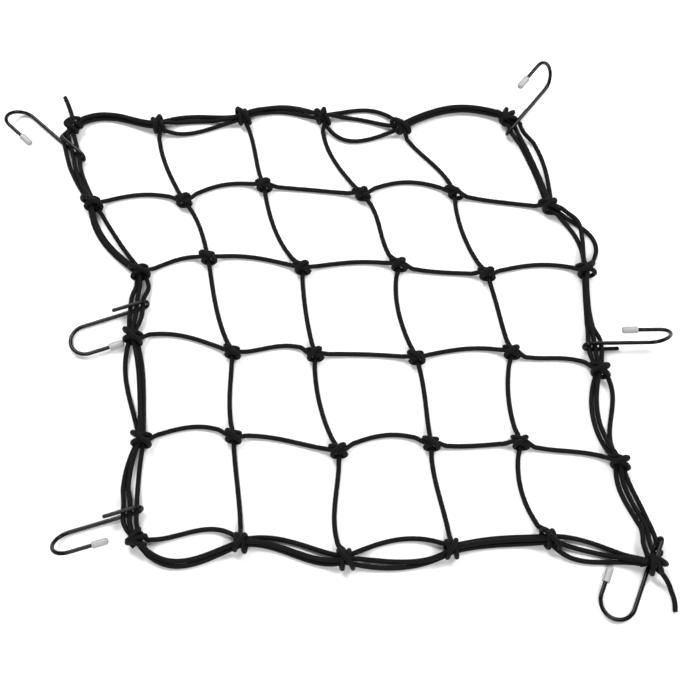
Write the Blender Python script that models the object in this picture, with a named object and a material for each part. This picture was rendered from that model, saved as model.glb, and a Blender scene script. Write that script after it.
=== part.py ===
"""Elastic cargo net: a five by five mesh of black cord with six wire hooks.

Lengths in the tables are millimetres. The net lies on the plane z = 0, with
+Z up and -Y towards its front edge.
"""

import math

import bmesh
import bpy
from mathutils import Vector

MM = 0.001

# Driving dimensions of the net
PITCH = 80.0            # knot to knot, both ways
ROW_LEAN = 18.0         # each row lies this much further right than the one behind it
COLUMN_FALL = 2.0       # each column lies this much nearer the front than the one left of it
BOX_MIDDLE = Vector((-23.52, -1.60))   # middle of everything built, seen from the middle of the mesh
LAST = 5                # the last row and the last column of knots

# Cord
CORD_RADIUS = 2.0
CORD_REST = 2.35        # height of a cord's middle where it lies on the floor
CORD_SPACING = 4.5      # middle to middle of two cords that touch
CORD_SLANT = 0.85       # share of a gap left between cords that run at a slant to their side
CLEARANCE = 0.35        # room left round whatever passes through a knot

# Knots
MESH_KNOT_HEIGHT = 11.0
MESH_KNOT_MIDDLE = 5.5
EDGE_KNOT_HEIGHT = 14.0
EDGE_GRIP = 4.6         # height of the two lower border cords inside a knot
CORNER_STOP = 7.5       # border cords end this far from a corner knot's middle
TUNNEL_REACH = 12.0     # a knot's tunnel is shaped this far either side of its middle
TUNNEL_EASE = 1.1       # extra width of a tunnel, for cords that pass at a slant
# How far a knot's lobes reach every 45 degrees, from +X round
KNOT_LOBES = (6.6, 8.2, 6.4, 6.2, 6.6, 8.2, 6.4, 8.2)
EDGE_LOBES = (8.2, 9.2, 8.2, 8.2, 8.2, 9.2, 8.2, 9.0)
CORNER_LOBES = (9.2, 9.8, 9.2, 9.4, 9.2, 9.8, 9.2, 9.8)
KNOT_PROFILE = ((0.0, 0.80), (0.45, 1.0), (1.0, 0.66))   # share of the height, share of the reach

# Hooks
WIRE_RADIUS = 1.7
WIRE_FLOOR = 2.0        # height of the wire's middle where it lies lowest
EYE_SPACING = 9.0       # shank to the free leg, across the eye
FREE_LEG = 25.0
MOUTH = 27.5            # shank to the open leg, across the bend
CAP_RADIUS = 3.1
CAP_LENGTH = 13.0
CAP_BORE_DEPTH = 10.0
HOOK_GRIP = 6.4         # height of the border cords where a hook's eye holds them
GATHER = 5.3            # spacing of the border cords inside an eye
HOLD = 5.0              # they stay gathered at least this far either side of the eye
FADE = 13.0             # and spread out again over this much more

# How far each knot lies off the regular mesh, as (to the right, to the back).
# One row of the table for each row of knots, back row first.
KNOT_DRIFT = (
    ((-10, -13), (-11, -10), (-12, 1), (-18, 3), (-25, -6), (-4, 6)),
    ((-3, -16), (-1, -10), (-9, 8), (0, 1), (4, 4), (9, -9)),
    ((27, -5), (6, 12), (9, 4), (14, 9), (11, 2), (18, 7)),
    ((8, 13), (13, 2), (3, 2), (9, 1), (10, 8), (3, -7)),
    ((4, 2), (-1, 7), (5, -3), (1, 5), (-6, 8), (-7, -7)),
    ((-11, -1), (-10, -1), (-7, -12), (-4, -2), (-6, 8), (-7, -11)),
)

# How far a slack cord swings off the straight line between two knots, as
# (a third of the way, two thirds of the way), to the left of its travel.
# Row cords run left to right, column cords run back to front.
ROW_SWING = {
    1: ((8, 9), (9, 9), (1, 1), (12, 12), (-1, 0)),
    2: ((4, 6), (6, 5), (4, 5), (-2, -1), (7, 8)),
    3: ((9, 7), (4, 8), (2, 2), (5, 6), (1, 6)),
    4: ((8, 10), (4, 2), (9, 10), (-2, -1), (0, 3)),
}
COLUMN_SWING = {
    1: ((-5, -4), (4, 3), (-3, -4), (-2, -3), (0, 1)),
    2: ((2, 0), (-6, -7), (-2, -2), (-5, -5), (-3, -7)),
    3: ((-8, -6), (3, -2), (-7, -6), (2, 1), (-2, 0)),
    4: ((0, 4), (-5, -5), (1, 0), (-5, -5), (-9, -9)),
}

# The border cord goes round three times. Each side has a row for each span
# between knots, as (outer turn, middle turn, inner turn), each swinging
# outwards by (a third of the way, two thirds of the way).
BORDER_SWING = {
    "back": (
        ((15.5, 9.5), (13.5, 7.5), (11, 5.5)),
        ((9, 6), (3.5, 1.5), (-9.5, -5)),
        ((13.5, 13), (11, 10), (8.5, 6.5)),
        ((13.5, 16.5), (5.5, 4), (-19, -13.5)),
        ((15.5, 17.5), (14, 15.5), (12, 13.5)),
    ),
    "right": (
        ((14, 12), (3.5, 3.5), (1.5, 2)),
        ((15, 22), (16.5, 9.5), (7.5, 8)),
        ((-1, 1), (-2.5, -2), (-4, -4.5)),
        ((6.5, -1.5), (-7.5, -7.5), (-11.5, -11.5)),
        ((5, 8.5), (0, 5), (-5, 1.5)),
    ),
    "front": (
        ((18.5, 13.5), (15, 10), (-4.5, -11)),
        ((-0.5, 4.5), (-2.5, 2), (-8.5, -5.5)),
        ((8.5, 9), (3, 6.5), (-10.5, -12)),
        ((-0.5, 0.5), (-3, -2.5), (-5.5, -5)),
        ((9.5, 3.5), (1, 0), (-6.5, -4)),
    ),
    "left": (
        ((12, 9.5), (8, 6), (3.5, 2.5)),
        ((11, 9), (8.5, 7), (-1, -0.5)),
        ((3, 5), (-1, 1), (-9, -4)),
        ((9.5, 6.5), (-2, -1), (-5, -3.5)),
        ((12.5, 12.5), (8.5, 8.5), (1.5, 1.5)),
    ),
}
TURNS = ("outer", "middle", "inner")
KNOT_GRIP = {"outer": 2.65, "middle": 0.0, "inner": -2.65}
LAID_ORDER = ("outer", "inner", "middle")     # the middle turn lies on the other two

# name: (knots along the side, outward is left or right of its travel)
SIDES = {
    "back": ([(0, i) for i in range(LAST + 1)], 1),
    "right": ([(i, LAST) for i in range(LAST + 1)], 1),
    "front": ([(LAST, i) for i in range(LAST + 1)], -1),
    "left": ([(i, 0) for i in range(LAST + 1)], -1),
}
CORNERS = {
    "back_left": (0, 0),
    "back_right": (0, LAST),
    "front_left": (LAST, 0),
    "front_right": (LAST, LAST),
}
# The front right corner knot lies over a hook's shank, so it sits higher.
CORNER_GRIP = {"back_left": 4.6, "back_right": 4.6, "front_left": 4.6, "front_right": 8.6}

# number: side, span, share of the span, heading (degrees from +X), mouth on
# the left or right of the heading, open leg's rise and free leg's rise
# (degrees), height of the shank's far end, lengths of the
# shank and of the open leg
HOOKS = {
    1: ("left", 0, 0.25, 137, 1, 28, 78, 2.0, 68.0, 28.0),
    2: ("right", 0, 0.09, 52, 1, 60, 78, 2.0, 62.0, 28.0),
    3: ("left", 2, 0.54, 199, 1, 5, 78, 2.0, 54.0, 27.0),
    4: ("left", 4, 0.72, 197, 1, 42, 78, 2.0, 55.0, 28.0),
    5: ("right", 2, 0.77, 2, 1, 90, -78, 8.5, 51.0, 28.0),
    6: ("right", 4, 0.92, -114, -1, 4, 78, 2.0, 55.0, 20.0),
}

# Loose ends of the border cord: corner, heading, curl towards the left, length
TAILS = {
    "back_left": (106, 2, 30.5),
    "front_right": (-50, -9, 30.5),
}


def knot_place(row, column):
    """Plan position of a knot's middle."""
    drift = KNOT_DRIFT[row][column]
    across = column - LAST / 2
    down = row - LAST / 2
    regular = Vector((PITCH * across + ROW_LEAN * down, -PITCH * down - COLUMN_FALL * across))
    return regular + Vector(drift) - BOX_MIDDLE


def sway(share, first, early, late, last):
    """Cubic through four offsets at 0, 1/3, 2/3 and 1 of a span."""
    third, two_thirds = share - 1 / 3, share - 2 / 3
    return (-4.5 * third * two_thirds * (share - 1) * first
            + 13.5 * share * two_thirds * (share - 1) * early
            - 13.5 * share * third * (share - 1) * late
            + 4.5 * share * third * two_thirds * last)


def beside(start, end, share, offset):
    """Point a share of the way from start to end, offset to the left."""
    along = end - start
    left = Vector((-along.y, along.x)).normalized()
    return start + along * share + left * offset


def settle(share, rest, grip):
    """Height of a cord that leaves a knot at grip height and soon lies at rest."""
    return rest + (grip - rest) * abs(2 * share - 1) ** 3


def mesh_cord_path(knots, swings, first_height, last_height):
    """Path of a row or column cord, from one border knot to the other."""
    path = []
    for span, (early, late) in enumerate(swings):
        start, end = knot_place(*knots[span]), knot_place(*knots[span + 1])
        for share in (0.0, 0.25, 0.5, 0.75):
            spot = beside(start, end, share, sway(share, 0, early, late, 0))
            path.append(spot.to_3d() + Vector((0, 0, settle(share, CORD_REST, MESH_KNOT_MIDDLE))))
    path.append(knot_place(*knots[-1]).to_3d() + Vector((0, 0, last_height)))
    path[0].z = first_height
    return path


# Border


def held_length(side, span, length):
    """The middle and half the length of what a hook holds of a border span, or None."""
    knots = SIDES[side][0]
    for place in HOOKS.values():
        if place[:2] == (side, span):
            along = knot_place(*knots[span + 1]) - knot_place(*knots[span])
            turned = math.radians(place[3]) - math.atan2(along.y, along.x)
            return place[2] * length, HOLD + GATHER * abs(math.cos(turned) / math.sin(turned))
    return None


def nearness(spot, held, length):
    """1 along the length that a hook holds, falling to 0 towards the knots."""
    middle, half = held
    room = (length - middle if spot > middle else middle) - half
    room = min(FADE, max(room, FADE / 2))
    return min(1.0, max(0.0, (half + room - abs(spot - middle)) / room))


def grip_height(knot):
    """Height of the lower border cords at a knot."""
    for corner, place in CORNERS.items():
        if place == knot:
            return CORNER_GRIP[corner]
    return EDGE_GRIP


def free_offsets(side, span, share):
    """How far each turn of the border would lie outwards of the knots' line with no hook."""
    offsets = {}
    for turn, (early, late) in zip(TURNS, BORDER_SWING[side][span]):
        grip = KNOT_GRIP[turn]
        offsets[turn] = sway(share, grip, early, late, grip)
    return offsets


def turn_offsets(side, span, share, length):
    """How far each turn of the border lies outwards of the knots' line."""
    offsets = free_offsets(side, span, share)
    held = held_length(side, span, length)
    if held is None:
        return offsets
    weight = nearness(share * length, held, length)
    in_eye = free_offsets(side, span, held[0] / length)
    middle = sum(in_eye.values()) / len(in_eye)
    ranked = sorted(TURNS, key=lambda turn: -in_eye[turn])
    for rank, turn in enumerate(ranked):
        row = middle + GATHER * (1 - rank)
        offsets[turn] += weight * (row - offsets[turn])
    return offsets


def turn_heights(side, span, share, length, offsets):
    """Heights of the turns, each resting on the ones laid before it."""
    knots = SIDES[side][0]
    near, far = grip_height(knots[span]), grip_height(knots[span + 1])
    base = settle(share, CORD_REST, near if share < 0.5 else far)
    held = held_length(side, span, length)
    if held is not None:
        base += nearness(share * length, held, length) * (HOOK_GRIP - base)
    heights = {}
    for turn in LAID_ORDER:
        heights[turn] = base
        for under in LAID_ORDER[:LAID_ORDER.index(turn)]:
            gap = CORD_SLANT * (offsets[turn] - offsets[under])
            if abs(gap) < CORD_SPACING:
                lift = math.sqrt(CORD_SPACING ** 2 - gap ** 2)
                heights[turn] = max(heights[turn], heights[under] + lift)
    return heights


def span_stations(side, span, length):
    """Distances along a border span at which its cords get a point."""
    start = CORNER_STOP if span == 0 else 0.0
    stop = length - CORNER_STOP if span == LAST - 1 else length
    regular = [length * share for share in (0.25, 0.5, 0.75)]
    held = held_length(side, span, length)
    if held is None:
        return [start] + regular + [stop]
    middle, half = held
    marks = [middle + way * (half + FADE * share) for way in (-1, 1) for share in (0, 0.5, 1)]
    marks = [spot for spot in marks if start + 3 < spot < stop - 3]
    regular = [spot for spot in regular
               if abs(spot - middle) > half and all(abs(spot - other) > 8 for other in marks)]
    return [start] + sorted(regular + marks) + [stop]


def border_paths(side):
    """Paths of the three turns along one side, from corner to corner."""
    knots, outward = SIDES[side]
    paths = {turn: [] for turn in TURNS}
    for span in range(LAST):
        start, end = knot_place(*knots[span]), knot_place(*knots[span + 1])
        length = (end - start).length
        stations = span_stations(side, span, length)
        held = held_length(side, span, length)
        for index, spot in enumerate(stations):
            if span > 0 and index == 0:
                continue
            share = spot / length
            offsets = turn_offsets(side, span, share, length)
            # a cord that crosses another clears it from the point before to the point after
            low = stations[max(index - 1, 0)]
            high = stations[min(index + 1, len(stations) - 1)]
            if held is not None and abs(spot - held[0]) < held[1] + 1:
                low = high = spot
            heights = dict.fromkeys(TURNS, 0.0)
            for step in range(9):
                nearby = (low + (high - low) * step / 8) / length
                there = turn_offsets(side, span, nearby, length)
                levels = turn_heights(side, span, nearby, length, there)
                own = turn_heights(side, span, share, length, there)
                for turn in TURNS:
                    heights[turn] = max(heights[turn], min(levels[turn], own[turn]))
            for turn in TURNS:
                place = beside(start, end, share, outward * offsets[turn])
                paths[turn].append(place.to_3d() + Vector((0, 0, heights[turn])))
    return paths


# Hooks


def hook_frame(number):
    """A hook's eye, the start of its bend, and its outward, free leg's and open leg's directions, open leg's length."""
    side, span, share, heading, mouth_side, open_rise, free_rise = HOOKS[number][:7]
    bend_height, shank, open_leg = HOOKS[number][7:]
    knots, outward = SIDES[side]
    start, end = knot_place(*knots[span]), knot_place(*knots[span + 1])
    offsets = turn_offsets(side, span, share, (end - start).length)
    middle = beside(start, end, share, outward * sorted(offsets.values())[1])
    heading, open_rise, free_rise = [math.radians(angle) for angle in (heading, open_rise, free_rise)]
    out = Vector((math.cos(heading), math.sin(heading)))
    left = Vector((-out.y, out.x)) * mouth_side
    slant = abs((end - start).normalized().cross(out))
    reach = (GATHER + CORD_RADIUS + WIRE_RADIUS + CLEARANCE) / slant - EYE_SPACING / 2
    half_eye = left * EYE_SPACING / 2 * math.cos(free_rise)
    eye = (middle - out * reach + half_eye).to_3d()
    eye.z = WIRE_FLOOR + max(0.0, -EYE_SPACING * math.sin(free_rise))
    bend = (eye.xy + out * shank).to_3d()
    bend.z = bend_height
    free = (-left * math.cos(free_rise)).to_3d() + Vector((0, 0, math.sin(free_rise)))
    mouth = (left * math.cos(open_rise)).to_3d() + Vector((0, 0, math.sin(open_rise)))
    return eye, bend, out.to_3d(), free, mouth, open_leg


def arc(centre, first, second, radius, begin, end, count):
    """Points on an arc, turning from the first direction towards the second."""
    points = []
    for step in range(count + 1):
        angle = math.radians(begin + (end - begin) * step / count)
        points.append(centre + (first * math.cos(angle) + second * math.sin(angle)) * radius)
    return points


def hook_path(number):
    """The wire's path: free leg, eye, shank, bend and open leg."""
    eye, bend, out, free, mouth, open_leg = hook_frame(number)
    along = (bend - eye).normalized()
    path = [eye + free * EYE_SPACING + out * reach for reach in (FREE_LEG, FREE_LEG / 3)]
    path += arc(eye + free * EYE_SPACING / 2, free, -out, EYE_SPACING / 2, 0, 180, 6)
    path += [(eye + bend) / 2]
    path += arc(bend + mouth * MOUTH / 2, -mouth, along, MOUTH / 2, 0, 180, 9)
    path += [bend + mouth * MOUTH - along * (open_leg - 1)]
    return path


def hook_cap_frame(number):
    """The middle of a cap's closed end, and the direction from it towards the bend."""
    eye, bend, _, _, mouth, open_leg = hook_frame(number)
    along = (bend - eye).normalized()
    closed = bend + mouth * MOUTH - along * (open_leg + CAP_LENGTH - CAP_BORE_DEPTH)
    return closed, along


def tail_path(corner):
    """Path of a loose cord end, lying on the floor beside its corner knot."""
    heading, curl, length = TAILS[corner]
    spot = knot_place(*CORNERS[corner]).to_3d()
    grip = CORNER_GRIP[corner]
    steps = 6
    step_length = length / steps
    angle = math.radians(heading)
    spot += Vector((math.cos(angle), math.sin(angle), 0)) * CORNER_STOP
    path = []
    for step in range(steps + 1):
        sink = min(1.0, step * 2 / steps)
        path.append(Vector((spot.x, spot.y, grip + (CORD_REST - grip) * sink)))
        spot += Vector((math.cos(angle), math.sin(angle), 0)) * step_length
        angle += math.radians(curl)
    return path


# Solids


def material(name, colour, roughness, metallic=0.0):
    shade = bpy.data.materials.new(name)
    shade.use_nodes = True
    surface = shade.node_tree.nodes["Principled BSDF"]
    surface.inputs["Base Color"].default_value = (*colour, 1)
    surface.inputs["Roughness"].default_value = roughness
    surface.inputs["Metallic"].default_value = metallic
    return shade


def add_object(name, data, finish=None):
    thing = bpy.data.objects.new(name, data)
    bpy.context.scene.collection.objects.link(thing)
    if finish is not None:
        data.materials.append(finish)
    return thing


def tube(name, path, radius, finish=None, bevel_resolution=1):
    """A round bar along a path, with closed ends."""
    curve = bpy.data.curves.new(name, "CURVE")
    curve.dimensions = "3D"
    curve.bevel_depth = radius * MM
    curve.bevel_resolution = bevel_resolution
    curve.use_fill_caps = True
    spline = curve.splines.new("POLY")
    spline.points.add(len(path) - 1)
    for point, place in zip(spline.points, path):
        point.co = (*(place * MM), 1)
    spline.use_smooth = True
    return add_object(name, curve, finish)


def solid_mesh(thing):
    """The object's own mesh, as evaluated, with its seams closed."""
    bpy.context.view_layer.update()
    graph = bpy.context.evaluated_depsgraph_get()
    mesh = bpy.data.meshes.new_from_object(thing.evaluated_get(graph))
    shape = bmesh.new()
    shape.from_mesh(mesh)
    bmesh.ops.remove_doubles(shape, verts=shape.verts, dist=0.000001)
    bmesh.ops.recalc_face_normals(shape, faces=shape.faces)
    shape.to_mesh(mesh)
    shape.free()
    return mesh


def joined_tubes(name, paths, radius):
    """A cutter made of several tubes that stay clear of each other."""
    shape = bmesh.new()
    for path in paths:
        bar = tube(name, path, radius)
        shape.from_mesh(solid_mesh(bar))
        bpy.data.objects.remove(bar)
    mesh = bpy.data.meshes.new(name)
    shape.to_mesh(mesh)
    shape.free()
    return mesh


def stretch(paths, place):
    """Sections through cords that run side by side, on either side of a knot's place."""
    guide = paths[0]
    home = min(range(len(guide)), key=lambda index: (guide[index].xy - place).length)
    sections = [[path[home] for path in paths]]
    for way in (-1, 1):
        index, gone = home, 0.0
        while gone < TUNNEL_REACH:
            step = (guide[index + way] - guide[index]).length
            share = min(1.0, (TUNNEL_REACH - gone) / step)
            section = [path[index].lerp(path[index + way], share) for path in paths]
            sections.insert(0 if way < 0 else len(sections), section)
            gone += step
            index += way
    return sections


def tunnel_mesh(tunnels):
    """A cutter with room for the cords through each knot: box sections, lofted."""
    gap = CORD_RADIUS + CLEARANCE
    shape = bmesh.new()
    for sections in tunnels:
        along = (sections[-1][0] - sections[0][0]).xy.normalized()
        across = Vector((-along.y, along.x, 0))
        rings = []
        for section in sections:
            centre = sum(section, Vector()) / len(section)
            sides = [(spot - centre).dot(across) for spot in section]
            left, right = max(sides) + gap + TUNNEL_EASE, min(sides) - gap - TUNNEL_EASE
            low = min(spot.z for spot in section) - gap
            high = max(spot.z for spot in section) + gap
            corners = ((right, low), (left, low), (left, high), (right, high))
            ring = []
            for side, height in corners:
                spot = centre + across * side
                ring.append(shape.verts.new((spot.x * MM, spot.y * MM, height * MM)))
            rings.append(ring)
        shape.faces.new(reversed(rings[0]))
        shape.faces.new(rings[-1])
        for lower, upper in zip(rings, rings[1:]):
            for index in range(4):
                after = (index + 1) % 4
                shape.faces.new((lower[index], lower[after], upper[after], upper[index]))
    bmesh.ops.recalc_face_normals(shape, faces=shape.faces)
    mesh = bpy.data.meshes.new("tunnel")
    shape.to_mesh(mesh)
    shape.free()
    return mesh


def lump_mesh(name, places, lobes, height):
    """Knot bodies: lobed outlines lofted from a flat underside to a rounded top."""
    shape = bmesh.new()
    for place in places:
        rings = []
        for level, share in KNOT_PROFILE:
            ring = []
            for index, reach in enumerate(lobes):
                angle = 2 * math.pi * index / len(lobes)
                spot = Vector((math.cos(angle), math.sin(angle))) * reach * share + place
                ring.append(shape.verts.new((spot.x * MM, spot.y * MM, level * height * MM)))
            rings.append(ring)
        shape.faces.new(reversed(rings[0]))
        shape.faces.new(rings[-1])
        for lower, upper in zip(rings, rings[1:]):
            for index in range(len(lobes)):
                after = (index + 1) % len(lobes)
                shape.faces.new((lower[index], lower[after], upper[after], upper[index]))
    mesh = bpy.data.meshes.new(name)
    shape.to_mesh(mesh)
    shape.free()
    return mesh


def combine(thing, operation, mesh):
    """Boolean an object with a mesh, which is used up."""
    other = add_object("cutter", mesh)
    other.hide_render = True
    other.display_type = "WIRE"
    change = thing.modifiers.new(operation.lower(), "BOOLEAN")
    change.operation = operation
    change.solver = "EXACT"
    change.object = other
    result = solid_mesh(thing)
    thing.modifiers.clear()
    bpy.data.objects.remove(other)
    return result


def main_body(mesh):
    """Drop the crumbs that a cut leaves, so that one closed body stays."""
    shape = bmesh.new()
    shape.from_mesh(mesh)
    shape.verts.ensure_lookup_table()
    bodies, seen = [], set()
    for seed in shape.verts:
        if seed in seen:
            continue
        body, front = {seed}, [seed]
        while front:
            for edge in front.pop().link_edges:
                for vertex in edge.verts:
                    if vertex not in body:
                        body.add(vertex)
                        front.append(vertex)
        seen |= body
        bodies.append(body)
    largest = max(bodies, key=len)
    crumbs = [vertex for vertex in shape.verts if vertex not in largest]
    bmesh.ops.delete(shape, geom=crumbs, context="VERTS")
    shape.to_mesh(mesh)
    shape.free()
    return mesh


def tied_cord(name, path, lumps, tunnels, finish):
    """A cord with its own knots, opened for the cords that pass through them."""
    bar = tube(name, path, CORD_RADIUS)
    base = add_object(name + "_body", solid_mesh(bar))
    bpy.data.objects.remove(bar)
    for lump in lumps:
        base.data = combine(base, "UNION", lump)
    base.data = combine(base, "DIFFERENCE", tunnel_mesh(tunnels))
    mesh = main_body(base.data)
    bpy.data.objects.remove(base)
    return add_object(name, mesh, finish)


def build_mesh_cords(paths, borders, finish):
    """Row cords with a knot at every crossing, and column cords that run through them."""
    for line in range(1, LAST):
        tunnels = []
        for column in range(1, LAST):
            tunnels.append(stretch([paths["column", column]], knot_place(line, column)))
        for side, column in (("left", 0), ("right", LAST)):
            turns = [borders[side][turn] for turn in ("middle", "outer", "inner")]
            tunnels.append(stretch(turns, knot_place(line, column)))
        inner = [knot_place(line, column) for column in range(1, LAST)]
        ends = [knot_place(line, column) for column in (0, LAST)]
        lumps = [lump_mesh("knots", inner, KNOT_LOBES, MESH_KNOT_HEIGHT),
                 lump_mesh("knots", ends, EDGE_LOBES, EDGE_KNOT_HEIGHT)]
        tied_cord(f"row_cord_{line}", paths["row", line], lumps, tunnels, finish)
    for line in range(1, LAST):
        tunnels = []
        for side, row in (("back", 0), ("front", LAST)):
            turns = [borders[side][turn] for turn in ("middle", "outer", "inner")]
            tunnels.append(stretch(turns, knot_place(row, line)))
        ends = [knot_place(row, line) for row in (0, LAST)]
        lumps = [lump_mesh("knots", ends, EDGE_LOBES, EDGE_KNOT_HEIGHT)]
        tied_cord(f"column_cord_{line}", paths["column", line], lumps, tunnels, finish)


def build_border(borders, finish):
    """Three turns of the border cord along each side."""
    for side, turns in borders.items():
        for turn, path in turns.items():
            tube(f"border_{side}_{turn}", path, CORD_RADIUS, finish)


def build_corners(borders, wires, finish):
    """Corner knots, with sockets for the cords that end in them."""
    gap = CORD_RADIUS + CLEARANCE
    for corner, place in CORNERS.items():
        raised = CORNER_GRIP[corner] - EDGE_GRIP
        name = f"corner_knot_{corner}"
        height = EDGE_KNOT_HEIGHT + raised
        body = add_object("corner", lump_mesh(name, [knot_place(*place)], CORNER_LOBES, height))
        cuts = []
        for side in corner.split("_"):
            cuts += [([borders[side][turn]], gap) for turn in TURNS]
        if corner in TAILS:
            cuts.append(([tail_path(corner)], gap))
        cuts += [([wire], WIRE_RADIUS + CLEARANCE) for wire in wires.values()]
        for paths, radius in cuts:
            body.data = combine(body, "DIFFERENCE", joined_tubes("cutter", paths, radius))
        add_object(name, main_body(body.data), finish)
        bpy.data.objects.remove(body)


def cap_mesh(number):
    """A soft end cap: a cup turned about its wire, with a rounded closed end."""
    closed, towards = hook_cap_frame(number)
    bore = WIRE_RADIUS + CLEARANCE
    floor = CAP_LENGTH - CAP_BORE_DEPTH
    profile = ((0, 0), (1.9, 0.4), (2.8, 1.5), (CAP_RADIUS, 3.2), (CAP_RADIUS, CAP_LENGTH),
               (bore, CAP_LENGTH), (bore, floor), (0, floor))
    side = towards.cross(Vector((0, 0, 1))).normalized()
    shape = bmesh.new()
    edges = []
    last = None
    for radius, height in profile:
        vertex = shape.verts.new((closed + side * radius + towards * height) * MM)
        if last is not None:
            edges.append(shape.edges.new((last, vertex)))
        last = vertex
    bmesh.ops.spin(shape, geom=list(shape.verts) + edges, cent=closed * MM, axis=towards,
                   angle=2 * math.pi, steps=10, use_merge=True)
    bmesh.ops.remove_doubles(shape, verts=shape.verts, dist=0.000002)
    bmesh.ops.recalc_face_normals(shape, faces=shape.faces)
    mesh = bpy.data.meshes.new("hook_cap")
    shape.to_mesh(mesh)
    shape.free()
    return mesh


def build_hooks(wires, coated, white):
    """Six bent wire hooks, each with a soft cap on its open end."""
    for number, wire in wires.items():
        tube(f"hook_{number}", wire, WIRE_RADIUS, coated, bevel_resolution=2)
        cap = add_object(f"hook_cap_{number}", cap_mesh(number), white)
        cap.data.shade_smooth()


def build():
    for thing in list(bpy.data.objects):
        bpy.data.objects.remove(thing)
    cord = material("black_elastic_cord", (0.012, 0.012, 0.013), 0.75)
    coated = material("black_coated_wire", (0.01, 0.01, 0.01), 0.25)
    white = material("white_soft_cap", (0.82, 0.83, 0.84), 0.45)

    paths = {}
    for line in range(1, LAST):
        row = [(line, column) for column in range(LAST + 1)]
        column = [(step, line) for step in range(LAST + 1)]
        paths["row", line] = mesh_cord_path(row, ROW_SWING[line], MESH_KNOT_MIDDLE, MESH_KNOT_MIDDLE)
        paths["column", line] = mesh_cord_path(
            column, COLUMN_SWING[line], MESH_KNOT_MIDDLE, MESH_KNOT_MIDDLE)
    borders = {side: border_paths(side) for side in SIDES}
    wires = {number: hook_path(number) for number in HOOKS}

    build_mesh_cords(paths, borders, cord)
    build_border(borders, cord)
    build_corners(borders, wires, cord)
    for corner in TAILS:
        tube(f"cord_tail_{corner}", tail_path(corner), CORD_RADIUS, cord, bevel_resolution=2)
    build_hooks(wires, coated, white)


build()
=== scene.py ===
import math

import bmesh
import bpy
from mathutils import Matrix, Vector


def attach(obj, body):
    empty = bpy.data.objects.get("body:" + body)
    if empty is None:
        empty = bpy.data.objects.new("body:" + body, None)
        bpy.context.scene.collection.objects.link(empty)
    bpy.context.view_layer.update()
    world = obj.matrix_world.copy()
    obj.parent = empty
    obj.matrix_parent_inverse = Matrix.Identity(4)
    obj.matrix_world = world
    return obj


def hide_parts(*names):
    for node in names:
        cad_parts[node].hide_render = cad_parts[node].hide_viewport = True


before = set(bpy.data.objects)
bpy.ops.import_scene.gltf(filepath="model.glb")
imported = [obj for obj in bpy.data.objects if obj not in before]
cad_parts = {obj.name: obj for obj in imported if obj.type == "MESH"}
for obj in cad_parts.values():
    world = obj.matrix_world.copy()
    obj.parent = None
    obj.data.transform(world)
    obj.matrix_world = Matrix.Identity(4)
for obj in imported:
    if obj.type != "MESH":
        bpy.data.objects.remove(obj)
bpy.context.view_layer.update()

mm = 0.001          # lengths are in millimetres and angles in degrees, unless a note says metres
up = Vector((0, 0, 1))
print("frame loaded:", len(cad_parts), "CAD nodes")


# Camera

view = {"aim": (17.02, -20.4, 0), "distance": 885, "elevation": 67, "fieldOfView": 36.5}


def placeCamera():
    lens = bpy.data.cameras.new("camera")
    lens.angle = math.radians(view["fieldOfView"])
    lens.clip_start = 0.01
    camera = bpy.data.objects.new("camera", lens)
    bpy.context.scene.collection.objects.link(camera)
    tilt = math.radians(view["elevation"])
    back = Vector((0, -math.cos(tilt), math.sin(tilt)))
    camera.location = (Vector(view["aim"]) + back * view["distance"]) * mm
    camera.rotation_euler = (-back).to_track_quat("-Z", "Y").to_euler()
    bpy.context.scene.camera = camera


placeCamera()


# Where the knots lie. The mesh is five cells each way, slack and a little askew.

mesh = {
    "pitch": 80,
    "rowLean": 18,              # each row lies this much right of the one behind it
    "columnFall": 2,
    "middle": (-23.52, -1.60),  # middle of everything, seen from the middle of the mesh
    "last": 5,
    "step": 4,                  # spacing of the points along a span
    # each knot's drift off the regular mesh, as (right, back), back row first
    "drift": (
        ((-10, -13), (-11, -10), (-12, 1), (-18, 3), (-25, -6), (-4, 6)),
        ((-3, -16), (-1, -10), (-9, 8), (0, 1), (4, 4), (9, -9)),
        ((27, -5), (6, 12), (9, 4), (14, 9), (11, 2), (18, 7)),
        ((8, 13), (13, 2), (3, 2), (9, 1), (10, 8), (3, -7)),
        ((4, 2), (-1, 7), (5, -3), (1, 5), (-6, 8), (-7, -7)),
        ((-11, -1), (-10, -1), (-7, -12), (-4, -2), (-6, 8), (-7, -11)),
    ),
    # swing of each span off its straight line, a third and two thirds of the way
    "rowSwing": {
        1: ((8, 9), (9, 9), (1, 1), (12, 12), (-1, 0)),
        2: ((4, 6), (6, 5), (4, 5), (-2, -1), (7, 8)),
        3: ((9, 7), (4, 8), (2, 2), (5, 6), (1, 6)),
        4: ((8, 10), (4, 2), (9, 10), (-2, -1), (0, 3)),
    },
    "columnSwing": {
        1: ((-5, -4), (4, 3), (-3, -4), (-2, -3), (0, 1)),
        2: ((2, 0), (-6, -7), (-2, -2), (-5, -5), (-3, -7)),
        3: ((-8, -6), (3, -2), (-7, -6), (2, 1), (-2, 0)),
        4: ((0, 4), (-5, -5), (1, 0), (-5, -5), (-9, -9)),
    },
}
last = mesh["last"]


def knotPlace(row, column):
    across, down = column - last / 2, row - last / 2
    regular = Vector((mesh["pitch"] * across + mesh["rowLean"] * down,
                      -mesh["pitch"] * down - mesh["columnFall"] * across))
    return regular + Vector(mesh["drift"][row][column]) - Vector(mesh["middle"])


def sway(share, first, early, late, end):
    # the cubic through four offsets: at the start, one third, two thirds and the end
    third, twoThirds = share - 1 / 3, share - 2 / 3
    return (-4.5 * third * twoThirds * (share - 1) * first
            + 13.5 * share * twoThirds * (share - 1) * early
            - 13.5 * share * third * (share - 1) * late
            + 4.5 * share * third * twoThirds * end)


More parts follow.
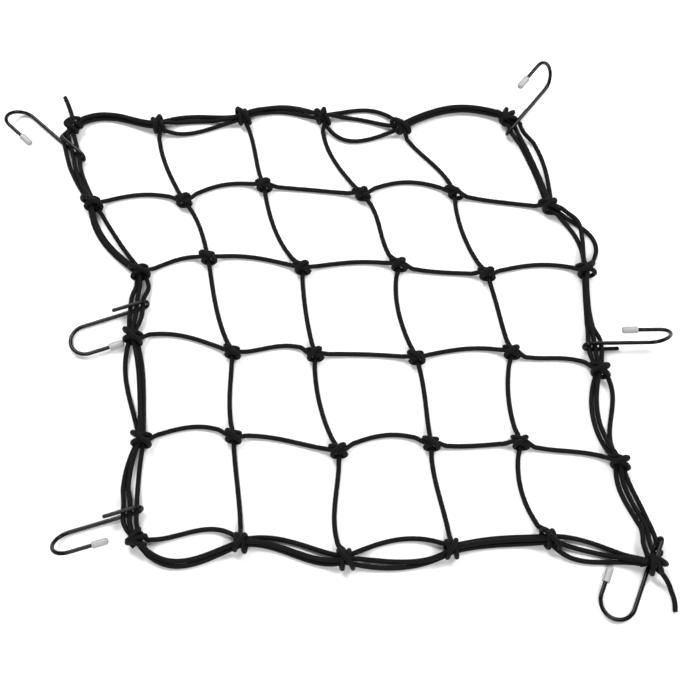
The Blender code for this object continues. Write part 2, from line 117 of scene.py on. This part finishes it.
def beside(start, end, share, offset):
    along = end - start
    return start + along * share + Vector((-along.y, along.x)).normalized() * offset


def settle(share, rest, grip):
    # a height that stays near rest and climbs to grip at both ends
    return rest + (grip - rest) * abs(2 * share - 1) ** 3


def smoothed(points, spacing):
    # a curve through the points with its samples about one spacing apart
    padded = [points[0] * 2 - points[1]] + list(points) + [points[-1] * 2 - points[-2]]
    dense = []
    for before, start, end, after in zip(padded, padded[1:], padded[2:], padded[3:]):
        count = max(1, round((end - start).length / spacing))
        for step in range(count):
            t = step / count
            dense.append(0.5 * (2 * start + (end - before) * t
                                + (2 * before - 5 * start + 4 * end - after) * t * t
                                + (3 * start - before - 3 * end + after) * t ** 3))
    dense.append(points[-1].copy())
    return dense


# Round tubes for cords and wire. Their UVs run round the tube and along it.

tube = {
    "sides": 14,
    "spacing": 1.5,
    "endRound": 0.35,               # how far an end is rounded, 1 being a half ball
    "endRings": (0.95, 0.7, 0.35),
}


def ringOf(shape, middle, side, other, radius, sides):
    ring = []
    for step in range(sides):
        angle = 2 * math.pi * step / sides
        spot = middle + (side * math.cos(angle) + other * math.sin(angle)) * radius
        ring.append(shape.verts.new(spot * mm))
    return ring


def tubeStations(points):
    # each point with the tube's direction, a side that never twists, and the length so far
    tangents = []
    for index in range(len(points)):
        ahead, behind = points[min(index + 1, len(points) - 1)], points[max(index - 1, 0)]
        tangents.append((ahead - behind).normalized())
    side = tangents[0].orthogonal().normalized()
    stations = []
    length = 0.0
    for index, point in enumerate(points):
        if index:
            length += (point - points[index - 1]).length
            side = tangents[index - 1].rotation_difference(tangents[index]) @ side
            side = (side - tangents[index] * side.dot(tangents[index])).normalized()
        stations.append((point, tangents[index], side.copy(), length, 1.0))
    return stations


def roundedEnd(station, radius, endRound, direction):
    point, tangent, side, along, _ = station
    rings = []
    for share in tube["endRings"]:
        past = direction * radius * endRound * share
        size = 1 - endRound * (1 - math.sqrt(1 - share ** 2))
        rings.append((point + tangent * past, tangent, side, along + past, size))
    return rings


def tubeMesh(name, points, radius, sides=tube["sides"], endRound=tube["endRound"]):
    shape = bmesh.new()
    uvLayer = shape.loops.layers.uv.new("lay")
    stations = tubeStations(points)
    opening = roundedEnd(stations[0], radius, endRound, -1)
    closing = reversed(roundedEnd(stations[-1], radius, endRound, 1))
    rings, lengths = [], []
    for point, tangent, side, along, size in [*opening, *stations, *closing]:
        rings.append(ringOf(shape, point, side, tangent.cross(side), radius * size, sides))
        lengths.append(along)
    for number, (lower, upper) in enumerate(zip(rings, rings[1:])):
        for step in range(sides):
            after = (step + 1) % sides
            face = shape.faces.new((lower[step], lower[after], upper[after], upper[step]))
            face.smooth = True
            spots = ((step, number), (step + 1, number),
                     (step + 1, number + 1), (step, number + 1))
            for loop, (turn, ring) in zip(face.loops, spots):
                loop[uvLayer].uv = (turn / sides, lengths[ring])
    shape.faces.new(reversed(rings[0]))
    shape.faces.new(rings[-1])
    data = bpy.data.meshes.new(name)
    shape.to_mesh(data)
    shape.free()
    return data


def addPiece(name, data, material, slotName, *nodes):
    piece = bpy.data.objects.new(name, data)
    bpy.context.scene.collection.objects.link(piece)
    data.materials.append(material)
    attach(piece, "root")
    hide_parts(*nodes)
    return piece


# Shading: a wrapped socket does sums, and one method adds any node

class Signal:
    def __init__(self, finish, socket):
        self.finish, self.socket = finish, socket

    def sum(self, operation, first, second=0.0):
        node = self.finish.add("ShaderNodeMath", {"operation": operation},
                               {0: first, 1: second})
        return Signal(self.finish, node.outputs[0])

    def __add__(self, other): return self.sum("ADD", self, other)
    def __radd__(self, other): return self.sum("ADD", other, self)
    def __sub__(self, other): return self.sum("SUBTRACT", self, other)
    def __rsub__(self, other): return self.sum("SUBTRACT", other, self)
    def __mul__(self, other): return self.sum("MULTIPLY", self, other)
    def __rmul__(self, other): return self.sum("MULTIPLY", other, self)
    def __truediv__(self, other): return self.sum("DIVIDE", self, other)
    def __rtruediv__(self, other): return self.sum("DIVIDE", other, self)
    def __pow__(self, other): return self.sum("POWER", self, other)
    def __abs__(self): return self.sum("ABSOLUTE", self)
    def sine(self): return self.sum("SINE", self)
    def floor(self): return self.sum("FLOOR", self)


class Finish:
    def __init__(self, name):
        self.material = bpy.data.materials.new(name)
        self.material.use_nodes = True
        self.tree = self.material.node_tree
        self.surface = self.tree.nodes["Principled BSDF"]

    def add(self, kind, settings=None, values=None):
        node = self.tree.nodes.new(kind)
        for name, value in (settings or {}).items():
            setattr(node, name, value)
        for name, value in (values or {}).items():
            self.feed(node.inputs[name], value)
        return node

    def feed(self, socket, value):
        if isinstance(value, Signal):
            value = value.socket
        if isinstance(value, bpy.types.NodeSocket):
            self.tree.links.new(value, socket)
        else:
            socket.default_value = value

    def signal(self, node, output=0):
        return Signal(self, node.outputs[output])

    def mixColours(self, factor, first, second):
        values = {0: factor, 6: first, 7: second}
        node = self.add("ShaderNodeMix", {"data_type": "RGBA"}, values)
        return node.outputs[2]

    def noise(self, scale, detail):
        where = self.add("ShaderNodeTexCoord").outputs["Object"]
        values = {"Vector": where, "Scale": scale, "Detail": detail}
        return self.signal(self.add("ShaderNodeTexNoise", {}, values))

    def bump(self, height, depth):
        values = {"Distance": depth, "Height": height, "Strength": 1.0}
        node = self.add("ShaderNodeBump", {}, values)
        self.feed(self.surface.inputs["Normal"], node.outputs[0])

    def set(self, **values):
        for name, value in values.items():
            self.feed(self.surface.inputs[name.replace("_", " ")], value)


# The elastic cord's finish: a black braided sheath over rubber, with painted shade in the
# braid's grooves, painted highlight on the strands' crowns, and random patches of dust mixed
# with a painted grey sheen

sheath = {
    "carriers": 8,          # strands each way round the cord
    "lay": 11.0,            # length of cord for one turn of a strand
    # the first colour is painted shade for the grooves between strands; the second is a painted
    # highlight for the strands' crowns
    "paintedGrooveShade": (0.0010, 0.0010, 0.0010, 1),
    "light": (0.0050, 0.0047, 0.0045, 1),
    # dust mixed with a painted grey sheen, laid on in random patches
    "dustAndSheen": (0.0075, 0.0070, 0.0065, 1),
    "fibreScale": 2600,
    # size of the random patches of dust and painted sheen
    "dustAndSheenScale": 38,
    "strandEdge": 0.6,      # below 1, a strand's crown is broad and its edge sharp
    "roughness": 0.55,
    "specular": 0.12,
    "bumpDepth": 0.00016,   # in metres
}


def makeCordFinish():
    finish = Finish("blackBraidedCord")
    around = finish.add("ShaderNodeUVMap", {"uv_map": "lay"})
    parts = finish.add("ShaderNodeSeparateXYZ", {}, {0: around.outputs[0]})
    turn, along = finish.signal(parts, "X"), finish.signal(parts, "Y")
    rightHand = (turn + along / sheath["lay"]) * sheath["carriers"]
    leftHand = (turn - along / sheath["lay"]) * sheath["carriers"]
    crossing = abs((rightHand * math.pi).sine()) * abs((leftHand * math.pi).sine())
    diamonds = crossing ** sheath["strandEdge"]
    cell = finish.add("ShaderNodeCombineXYZ", {}, {0: rightHand.floor(), 1: leftHand.floor()})
    speckle = finish.add("ShaderNodeTexWhiteNoise", {}, {"Vector": cell.outputs[0]})
    fleck = finish.signal(speckle)
    fibres = finish.noise(sheath["fibreScale"], 2.0)
    dustAndSheenMottle = finish.noise(sheath["dustAndSheenScale"], 4.0)
    # the strands' crowns are painted lighter and the grooves between them darker (painted
    # highlight and painted shade), varied at random from cell to cell
    braidShadingAndFleck = diamonds * (0.55 + fleck * 0.45)
    braidWithPaintedShading = finish.mixColours(braidShadingAndFleck, sheath["paintedGrooveShade"], sheath["light"])
    # random patches of dust and painted grey sheen over the braid
    colour = finish.mixColours((dustAndSheenMottle - 0.42) * 0.9, braidWithPaintedShading, sheath["dustAndSheen"])
    finish.set(Base_Color=colour, Specular_IOR_Level=sheath["specular"],
               Roughness=sheath["roughness"] + fleck * 0.12 + fibres * 0.10)
    finish.bump(diamonds + fibres * 0.25, sheath["bumpDepth"])
    return finish.material


cordFinish = makeCordFinish()
print("cord finish made")


# Loose ends of the border cord: heading, curl towards the left, length

looseEnds = {
    "back_left": (106, 2, 30.5),
    "front_right": (-50, -9, 30.5),
}
corners = {"back_left": (0, 0), "back_right": (0, last), "front_left": (last, 0),
           "front_right": (last, last)}
cord = {
    "radius": 2.0,
    "rest": 2.05,           # height of a cord's middle on the floor
    "cornerGrip": 4.6,      # height at which a loose end leaves its knot
    # the front right knot stands higher, over its hook
    "cornerLift": {"back_left": 0.0, "back_right": 0.0, "front_left": 0.0, "front_right": 4.0},
    "cornerStop": 7.5,      # from the middle of the knot to the start of a loose end
    "tailSteps": 6,
    "tailRound": 0.25,
}


def tailPath(corner):
    heading, curl, length = looseEnds[corner]
    spot = knotPlace(*corners[corner]).to_3d()
    grip = cord["cornerGrip"] + cord["cornerLift"][corner]
    angle = math.radians(heading)
    spot += Vector((math.cos(angle), math.sin(angle), 0)) * cord["cornerStop"]
    points = []
    for step in range(cord["tailSteps"] + 1):
        sink = min(1.0, step * 2 / cord["tailSteps"])
        points.append(Vector((spot.x, spot.y, grip + (cord["rest"] - grip) * sink)))
        spot += Vector((math.cos(angle), math.sin(angle), 0)) * length / cord["tailSteps"]
        angle += math.radians(curl)
    return points


def makeLooseEnds():
    for corner, (_, _, length) in looseEnds.items():
        points = smoothed(tailPath(corner), tube["spacing"])
        name = "looseEnd_" + corner
        data = tubeMesh(name, points, cord["radius"], endRound=cord["tailRound"])
        piece = addPiece(name, data, cordFinish, "cord", "cord_tail_" + corner)
        tuple(points[0] * mm)
        [tuple(point * mm) for point in points]


makeLooseEnds()
print("loose ends laid")


# Hooks: wire bent into an eye, a shank, a bend and an open leg

hook = {
    "wireRadius": 1.7, "sides": 20, "spacing": 1.0, "endRound": 0.8,
    "floor": 2.0,               # height of the wire's middle where it lies
    "eyeSpacing": 9.0, "freeLeg": 25.0, "mouth": 27.5,
    "eyeGap": 0.35,             # between the eye and the strands in it
    # the strands in an eye: spacing, half the length held, length of the fade to free
    "gather": 5.3, "hold": 5.0, "fade": 13.0,
    "grip": 6.4,                # height of the strands in an eye
    # where the turns meet the knots beside a hook, when its place is worked out
    "freeGrip": {"outer": 2.65, "middle": 0.0, "inner": -2.65},
    # side, span, share of the span, heading, mouth side, open leg's and free leg's
    # rise, height of the shank's far end, lengths of the shank and the open leg
    "places": {
        1: ("left", 0, 0.25, 137, 1, 28, 78, 2.0, 68, 28),
        2: ("right", 0, 0.09, 52, 1, 60, 78, 2.0, 62, 28),
        3: ("left", 2, 0.54, 199, 1, 5, 78, 2.0, 54, 27),
        4: ("left", 4, 0.72, 197, 1, 42, 78, 2.0, 55, 28),
        5: ("right", 2, 0.77, 2, 1, 90, -78, 8.5, 51, 28),
        6: ("right", 4, 0.92, -114, -1, 4, 78, 2.0, 55, 20),
    },
}

# The border cord goes round three times. Each side has a row for each span, as
# (outer, middle, inner turn), swinging outwards a third and two thirds of the way.

border = {
    "turns": ("outer", "middle", "inner"),
    "laidOrder": ("outer", "inner", "middle"),
    "knotGrip": {"outer": 2.1, "middle": 0.0, "inner": -2.1},
    "gripHeight": 6.0,      # height of the lowest turn in a knot
    "spacing": 4.05,        # between the middles of two turns that touch
    "slant": 0.93,          # allows for turns that cross at an angle
    "step": 2.6,
    "smoothing": 3,         # passes over the turns' heights
    "cornerTrim": 3,        # samples left out at each corner, so that the cord rounds it
    "sides": {
        "back": ([(0, i) for i in range(last + 1)], 1),
        "right": ([(i, last) for i in range(last + 1)], 1),
        "front": ([(last, i) for i in range(last + 1)], -1),
        "left": ([(i, 0) for i in range(last + 1)], -1),
    },
    "swing": {
        "back": (
            ((15.5, 9.5), (13.5, 7.5), (11, 5.5)),
            ((9, 6), (3.5, 1.5), (-9.5, -5)),
            ((13.5, 13), (11, 10), (8.5, 6.5)),
            ((13.5, 16.5), (5.5, 4), (-19, -13.5)),
            ((15.5, 17.5), (14, 15.5), (12, 13.5)),
        ),
        "right": (
            ((14, 12), (3.5, 3.5), (1.5, 2)),
            ((15, 22), (16.5, 9.5), (7.5, 8)),
            ((-1, 1), (-2.5, -2), (-4, -4.5)),
            ((6.5, -1.5), (-7.5, -7.5), (-11.5, -11.5)),
            ((5, 8.5), (0, 5), (-5, 1.5)),
        ),
        "front": (
            ((18.5, 13.5), (15, 10), (-4.5, -11)),
            ((-0.5, 4.5), (-2.5, 2), (-8.5, -5.5)),
            ((8.5, 9), (3, 6.5), (-10.5, -12)),
            ((-0.5, 0.5), (-3, -2.5), (-5.5, -5)),
            ((9.5, 3.5), (1, 0), (-6.5, -4)),
        ),
        "left": (
            ((12, 9.5), (8, 6), (3.5, 2.5)),
            ((11, 9), (8.5, 7), (-1, -0.5)),
            ((3, 5), (-1, 1), (-9, -4)),
            ((9.5, 6.5), (-2, -1), (-5, -3.5)),
            ((12.5, 12.5), (8.5, 8.5), (1.5, 1.5)),
        ),
    },
}


def heldLength(side, span, length):
    knots = border["sides"][side][0]
    for place in hook["places"].values():
        if place[:2] == (side, span):
            along = knotPlace(*knots[span + 1]) - knotPlace(*knots[span])
            turned = math.radians(place[3]) - math.atan2(along.y, along.x)
            reach = hook["gather"] * abs(math.cos(turned) / math.sin(turned))
            return place[2] * length, hook["hold"] + reach
    return None


def nearness(spot, held, length):
    middle, half = held
    room = (length - middle if spot > middle else middle) - half
    room = min(hook["fade"], max(room, hook["fade"] / 2))
    return min(1.0, max(0.0, (half + room - abs(spot - middle)) / room))


def freeOffsets(side, span, share, grips):
    offsets = {}
    for turn, (early, late) in zip(border["turns"], border["swing"][side][span]):
        offsets[turn] = sway(share, grips[turn], early, late, grips[turn])
    return offsets


def turnOffsets(side, span, share, length, grips):
    offsets = freeOffsets(side, span, share, grips)
    held = heldLength(side, span, length)
    if held is None:
        return offsets
    weight = nearness(share * length, held, length)
    inEye = freeOffsets(side, span, held[0] / length, grips)
    middle = sum(inEye.values()) / len(inEye)
    ranked = sorted(border["turns"], key=lambda turn: -inEye[turn])
    for rank, turn in enumerate(ranked):
        offsets[turn] += weight * (middle + hook["gather"] * (1 - rank) - offsets[turn])
    return offsets


def knotHeight(knot):
    for corner, place in corners.items():
        if place == knot:
            return border["gripHeight"] + cord["cornerLift"][corner]
    return border["gripHeight"]


def turnHeights(side, span, share, length, offsets):
    knots = border["sides"][side][0]
    near, far = knotHeight(knots[span]), knotHeight(knots[span + 1])
    base = settle(share, cord["rest"], near if share < 0.5 else far)
    held = heldLength(side, span, length)
    if held is not None:
        base += nearness(share * length, held, length) * (hook["grip"] - base)
    heights = {}
    for turn in border["laidOrder"]:
        heights[turn] = base
        for under in border["laidOrder"][:border["laidOrder"].index(turn)]:
            gap = border["slant"] * (offsets[turn] - offsets[under])
            if abs(gap) < border["spacing"]:
                lift = math.sqrt(border["spacing"] ** 2 - gap ** 2)
                heights[turn] = max(heights[turn], heights[under] + lift)
    return heights


def smoothHeights(points):
    heights = [point.z for point in points]
    lifted = [max(heights[max(i - 1, 0):i + 2]) for i in range(len(heights))]
    for _ in range(border["smoothing"]):
        padded = [lifted[0], *lifted, lifted[-1]]
        lifted = [(before + 2 * height + after) / 4
                  for before, height, after in zip(padded, padded[1:], padded[2:])]
    for point, height in zip(points, lifted):
        point.z = height


def sidePaths(side):
    knots, outward = border["sides"][side]
    paths = {turn: [] for turn in border["turns"]}
    for span in range(last):
        start, end = knotPlace(*knots[span]), knotPlace(*knots[span + 1])
        length = (end - start).length
        count = round(length / border["step"])
        for step in range(0 if span == 0 else 1, count + 1):
            share = step / count
            offsets = turnOffsets(side, span, share, length, border["knotGrip"])
            heights = turnHeights(side, span, share, length, offsets)
            for turn in border["turns"]:
                place = beside(start, end, share, outward * offsets[turn])
                paths[turn].append(place.to_3d() + up * heights[turn])
    for points in paths.values():
        smoothHeights(points)
    return paths


def makeBorder():
    sides = {side: sidePaths(side) for side in border["sides"]}
    trim = border["cornerTrim"]
    for turn in border["turns"]:
        loop = []
        for side, (_, outward) in border["sides"].items():
            points = sides[side][turn][trim:-trim]
            loop += points if outward == 1 else points[::-1]
        name = "borderTurn_" + turn
        data = tubeMesh(name, smoothed(loop + [loop[0]], tube["spacing"]), cord["radius"])
        nodes = [f"border_{side}_{turn}" for side in border["sides"]]
        addPiece(name, data, cordFinish, "cord", *nodes)


makeBorder()
print("border laid, three turns")


# Knots. Each is tied with the same hitch: in over the top, round, a diagonal over
# everything, round again, and out under the diagonal. A point has its share of the
# knot's half width, its place along the held cord, its level and a little extra height.

hitch = {
    "lay": (
        (-0.95, 0.1, "mid", 1.5),
        (-0.2, -1.7, "over", 0.0), (0.55, -3.0, "over", -1.0), (1.0, -3.9, "mid", -0.1),
        (0.65, -4.1, "under", 0.5), (0.0, -4.1, "under", 0.0), (-0.75, -4.1, "under", 0.9),
        (-1.1, -3.9, "mid", 0.3), (-0.96, -3.3, "over", -0.2), (-0.5, -2.0, "cross", -0.6),
        (0.0, 0.0, "cross", 0.0), (0.5, 2.0, "cross", -0.6), (0.96, 3.3, "over", -0.2),
        (1.1, 3.9, "mid", 0.3), (0.75, 4.1, "under", 0.9), (0.0, 4.1, "under", 0.0),
        (-0.65, 4.1, "under", 0.5), (-1.0, 3.9, "mid", -0.1), (-0.55, 3.0, "over", -1.0),
        (0.2, 1.7, "over", 0.0), (0.95, -0.1, "mid", 1.5),
    ),
    "mesh": {"halfWidth": 5.2, "under": 2.0, "mid": 5.8, "over": 9.7, "cross": 12.8},
    "edge": {"halfWidth": 6.4, "under": 2.0, "mid": 7.4, "over": 13.2, "cross": 16.0},
    "edgeEnd": 20,          # an end knot leaves out the points after this one
    "columnHeight": 5.8,    # height of a column cord in a row cord's knot
    "entry": 5.2,           # height at which a span would reach its knot's middle
    "reach": 8.6,           # where a span's own curve takes over from the knot
    "leftHanded": -0.35,    # knots whose wander is below this are mirrored
    "sizeSpread": 0.05,
    "swivelSpread": 8,
}


def wander(row, column, salt):
    # a small steady difference from knot to knot, between -1 and 1
    return math.sin(row * 12.9898 + column * 78.233 + salt * 37.719)


def rowDirection(row, column):
    left, right = max(column - 1, 0), min(column + 1, last)
    return (knotPlace(row, right) - knotPlace(row, left)).normalized()


def columnDirection(row, column):
    back, front = max(row - 1, 0), min(row + 1, last)
    return (knotPlace(back, column) - knotPlace(front, column)).normalized()


def hitchPoints(row, column, across, along, size):
    # across runs the way the tying cord travels, along follows the held cord
    centre = knotPlace(row, column)
    lay = 1 if wander(row, column, 3) > hitch["leftHanded"] else -1
    scale = 1 + hitch["sizeSpread"] * wander(row, column, 1)
    turn = math.radians(hitch["swivelSpread"] * wander(row, column, 2))
    points = []
    for share, sideways, level, extra in hitch["lay"]:
        right, back = share * size["halfWidth"] * scale, sideways * lay * scale
        right, back = (right * math.cos(turn) - back * math.sin(turn),
                       right * math.sin(turn) + back * math.cos(turn))
        flat = centre + across * right + along * back
        points.append(Vector((flat.x, flat.y, max(cord["radius"], size[level] + extra))))
    return points


def endHitch(row, column, across, along):
    # from the mesh side to the tucked end
    return hitchPoints(row, column, across, along, hitch["edge"])[:hitch["edgeEnd"]]


def spanPoints(start, end, swing, startRest, endRest):
    length = (end - start).length
    count = round(length / mesh["step"])
    points = []
    for step in range(1, count):
        share = step / count
        if share * length < hitch["reach"] or (1 - share) * length < hitch["reach"]:
            continue
        flat = beside(start, end, share, sway(share, 0, swing[0], swing[1], 0))
        grip = startRest if share < 0.5 else endRest
        points.append(flat.to_3d() + up * settle(share, cord["rest"], grip))
    return points


def makeRowCords():
    for row in range(1, last):
        points = endHitch(row, 0, -rowDirection(row, 0), columnDirection(row, 0))[::-1]
        for column in range(last):
            start, end = knotPlace(row, column), knotPlace(row, column + 1)
            points += spanPoints(start, end, mesh["rowSwing"][row][column],
                                 hitch["entry"], hitch["entry"])
            if column + 1 < last:
                points += hitchPoints(row, column + 1, rowDirection(row, column + 1),
                                      columnDirection(row, column + 1), hitch["mesh"])
        points += endHitch(row, last, rowDirection(row, last), columnDirection(row, last))
        name = f"rowCord_{row}"
        data = tubeMesh(name, smoothed(points, tube["spacing"]), cord["radius"])
        addPiece(name, data, cordFinish, "cord", f"row_cord_{row}")


def makeColumnCords():
    for column in range(1, last):
        points = endHitch(0, column, columnDirection(0, column),
                          rowDirection(0, column))[::-1]
        for row in range(last):
            start, end = knotPlace(row, column), knotPlace(row + 1, column)
            points += spanPoints(start, end, mesh["columnSwing"][column][row],
                                 hitch["columnHeight"] if row else hitch["entry"],
                                 hitch["columnHeight"] if row + 1 < last else hitch["entry"])
            if row + 1 < last:
                points.append(end.to_3d() + up * hitch["columnHeight"])
        points += endHitch(last, column, -columnDirection(last, column),
                           rowDirection(last, column))
        name = f"columnCord_{column}"
        data = tubeMesh(name, smoothed(points, tube["spacing"]), cord["radius"])
        addPiece(name, data, cordFinish, "cord", f"column_cord_{column}")


makeRowCords()
makeColumnCords()
print("mesh cords tied")


# Corner knots: the cord is wound round the bend of the border and over itself

cornerKnot = {
    "turns": 2.9,
    "stepsPerTurn": 14,
    "halfWidth": 6.3,
    "halfHeight": 5.4,
    "height": 7.6,
    "advance": 3.4,         # along the border for each turn
    "swivel": 34,           # each turn lies at this angle to the last
    "swell": 0.9,           # how much wider each turn lies than the last, across the knot
    "heading": {"back_left": 70, "back_right": 118, "front_left": 100, "front_right": 20},
}


def makeCornerKnots():
    for corner, place in corners.items():
        centre = knotPlace(*place).to_3d()
        raised = cord["cornerLift"][corner]
        centre.z = cornerKnot["height"] + raised / 2
        tall = cornerKnot["halfHeight"] + raised / 2
        first = math.radians(cornerKnot["heading"][corner])
        points = []
        for step in range(round(cornerKnot["turns"] * cornerKnot["stepsPerTurn"]) + 1):
            gone = step / cornerKnot["stepsPerTurn"]
            angle = 2 * math.pi * gone - math.pi / 2
            past = gone - cornerKnot["turns"] / 2
            heading = first + math.radians(cornerKnot["swivel"]) * past
            axis = Vector((math.cos(heading), math.sin(heading), 0))
            across = Vector((-axis.y, axis.x, 0))
            wide = cornerKnot["halfWidth"] + cornerKnot["swell"] * gone / 2
            high = tall + cornerKnot["swell"] * gone / 3 * max(0.0, math.sin(angle))
            spot = centre + across * wide * math.cos(angle) + up * high * math.sin(angle)
            points.append(spot + axis * cornerKnot["advance"] * past)
        name = "cornerKnot_" + corner
        data = tubeMesh(name, smoothed(points, tube["spacing"]), cord["radius"])
        addPiece(name, data, cordFinish, "cord", "corner_knot_" + corner)


makeCornerKnots()
print("corner knots tied")


# Hook wire: a glossy black coating, faintly rippled and scuffed

coating = {
    "colour": (0.0012, 0.0012, 0.0013, 1),
    "rub": (0.0045, 0.0045, 0.0048, 1),
    "roughness": 0.16,
    "specular": 0.2,
    "rippleScale": 900,
    "scuffScale": 160,
    "bumpDepth": 0.00002,   # in metres
}


def makeHookFinish():
    finish = Finish("glossyBlackCoating")
    ripple = finish.noise(coating["rippleScale"], 2.0)
    scuff = finish.noise(coating["scuffScale"], 5.0)
    colour = finish.mixColours((scuff - 0.5) * 1.6, coating["colour"], coating["rub"])
    finish.set(Base_Color=colour, Roughness=coating["roughness"] + scuff * 0.12,
               Specular_IOR_Level=coating["specular"])
    finish.bump(ripple, coating["bumpDepth"])
    return finish.material


hookFinish = makeHookFinish()


def hookFrame(number):
    side, span, share, heading, mouthSide, openRise, freeRise = hook["places"][number][:7]
    bendHeight, shank, openLeg = hook["places"][number][7:]
    knotRow, outward = border["sides"][side]
    start, end = knotPlace(*knotRow[span]), knotPlace(*knotRow[span + 1])
    offsets = turnOffsets(side, span, share, (end - start).length, hook["freeGrip"])
    middle = beside(start, end, share, outward * sorted(offsets.values())[1])
    heading, openRise, freeRise = map(math.radians, (heading, openRise, freeRise))
    out = Vector((math.cos(heading), math.sin(heading)))
    left = Vector((-out.y, out.x)) * mouthSide
    slant = abs((end - start).normalized().cross(out))
    reach = hook["gather"] + cord["radius"] + hook["wireRadius"] + hook["eyeGap"]
    reach = reach / slant - hook["eyeSpacing"] / 2
    eye = (middle - out * reach + left * hook["eyeSpacing"] / 2 * math.cos(freeRise)).to_3d()
    eye.z = hook["floor"] + max(0.0, -hook["eyeSpacing"] * math.sin(freeRise))
    bend = (eye.xy + out * shank).to_3d()
    bend.z = bendHeight
    free = (-left * math.cos(freeRise)).to_3d() + up * math.sin(freeRise)
    mouth = (left * math.cos(openRise)).to_3d() + up * math.sin(openRise)
    return eye, bend, out.to_3d(), free, mouth, openLeg


def arc(centre, first, second, radius, begin, end, count):
    points = []
    for step in range(count + 1):
        angle = math.radians(begin + (end - begin) * step / count)
        points.append(centre + (first * math.cos(angle) + second * math.sin(angle)) * radius)
    return points


def makeHooks():
    for number in hook["places"]:
        eye, bend, out, free, mouth, openLeg = hookFrame(number)
        along = (bend - eye).normalized()
        half, wide = hook["eyeSpacing"] / 2, hook["mouth"] / 2
        points = [eye + free * hook["eyeSpacing"] + out * hook["freeLeg"] * share
                  for share in (1, 0.8, 0.6, 0.4, 0.2)]
        points += arc(eye + free * half, free, -out, half, 0, 180, 14)
        points += [eye.lerp(bend, share / 10) for share in range(1, 10)]
        points += arc(bend + mouth * wide, -mouth, along, wide, 0, 180, 26)
        points += [bend + mouth * hook["mouth"] - along * openLeg * share
                   for share in (0.25, 0.5, 0.75, 1)]
        name = f"hookWire_{number}"
        data = tubeMesh(name, smoothed(points, hook["spacing"]), hook["wireRadius"],
                        hook["sides"], hook["endRound"])
        addPiece(name, data, hookFinish, "hook", f"hook_{number}")


makeHooks()
print("hooks bent")


# Soft caps pushed over the open legs

cap = {
    "length": 13.0,
    "depth": 10.0,          # how far the wire goes in
    "sides": 32,
    "colour": (0.26, 0.27, 0.27, 1),
    "milky": (0.38, 0.38, 0.38, 1),
    "cloudScale": 420,
    "grainScale": 2400,
    "bumpDepth": 0.00003,   # in metres
    # radius and height from the closed end, outside then inside
    "profile": ((0.0, 0.0), (1.1, 0.1), (2.0, 0.5), (2.6, 1.2), (2.95, 2.2), (3.05, 3.4),
                (3.02, 8.0), (3.0, 11.6), (3.1, 12.0), (3.1, 12.7), (2.9, 13.0), (2.1, 13.0),
                (1.8, 12.4), (1.75, 3.2), (0.0, 2.9)),
}


def makeCapFinish():
    finish = Finish("milkySoftCap")
    cloud = finish.noise(cap["cloudScale"], 3.0)
    grain = finish.noise(cap["grainScale"], 2.0)
    colour = finish.mixColours(cloud, cap["colour"], cap["milky"])
    finish.set(Base_Color=colour, Roughness=0.34 + grain * 0.12, IOR=1.45,
               Subsurface_Weight=0.2, Subsurface_Radius=(1.0, 1.0, 1.0),
               Subsurface_Scale=0.003, Coat_Weight=0.15)
    finish.bump(grain * 0.6 + cloud, cap["bumpDepth"])
    return finish.material


capFinish = makeCapFinish()


def makeCaps():
    sides = cap["sides"]
    for number in hook["places"]:
        eye, bend, _, _, mouth, openLeg = hookFrame(number)
        towards = (bend - eye).normalized()
        closed = bend + mouth * hook["mouth"]
        closed -= towards * (openLeg + cap["length"] - cap["depth"])
        side = towards.orthogonal().normalized()
        shape = bmesh.new()
        rings = []
        for radius, height in cap["profile"]:
            middle = closed + towards * height
            if radius:
                rings.append(ringOf(shape, middle, side, towards.cross(side), radius, sides))
            else:
                rings.append([shape.verts.new(middle * mm)] * sides)
        for lower, upper in zip(rings, rings[1:]):
            for step in range(sides):
                after = (step + 1) % sides
                rim = (lower[step], lower[after], upper[after], upper[step])
                shape.faces.new(list(dict.fromkeys(rim))).smooth = True
        bmesh.ops.recalc_face_normals(shape, faces=shape.faces)
        name = f"softCap_{number}"
        data = bpy.data.meshes.new(name)
        shape.to_mesh(data)
        shape.free()
        addPiece(name, data, capFinish, "cap", f"hook_cap_{number}")


makeCaps()
print("caps fitted")


# Studio: a plain pale floor and soft lights

studio = {
    "floorSize": 12.0,      # in metres
    "floorColour": (0.93, 0.93, 0.93, 1),
    "sky": (1.0, 1.0, 1.0, 1),
    "skyStrength": 0.30,
    # place and size in metres, power in watts
    "lights": {
        "key": ((-0.7, 1.0, 1.6), 0.9, 34),
        "fill": ((1.3, 0.5, 1.5), 1.0, 30),
        "front": ((-0.2, -1.7, 1.3), 1.2, 22),
    },
}


def makeStudio():
    floorMesh = bpy.data.meshes.new("floor")
    half = studio["floorSize"] / 2
    shape = bmesh.new()
    shape.faces.new([shape.verts.new((x, y, 0)) for x, y in
                     ((-half, -half), (half, -half), (half, half), (-half, half))])
    shape.to_mesh(floorMesh)
    shape.free()
    floor = bpy.data.objects.new("floor", floorMesh)
    bpy.context.scene.collection.objects.link(floor)
    finish = Finish("paleFloor")
    finish.set(Base_Color=studio["floorColour"], Roughness=0.8, Specular_IOR_Level=0.2)
    floorMesh.materials.append(finish.material)
    world = bpy.data.worlds.new("studio")
    world.use_nodes = True
    sky = world.node_tree.nodes["Background"]
    sky.inputs["Color"].default_value = studio["sky"]
    sky.inputs["Strength"].default_value = studio["skyStrength"]
    bpy.context.scene.world = world
    bpy.context.scene.view_settings.view_transform = "Standard"
    for name, (place, size, power) in studio["lights"].items():
        lamp = bpy.data.lights.new(name, "AREA")
        lamp.shape, lamp.size, lamp.energy = "DISK", size, power
        light = bpy.data.objects.new(name, lamp)
        light.location = place
        light.rotation_euler = (-Vector(place)).to_track_quat("-Z", "Y").to_euler()
        bpy.context.scene.collection.objects.link(light)


makeStudio()
print("studio lit")
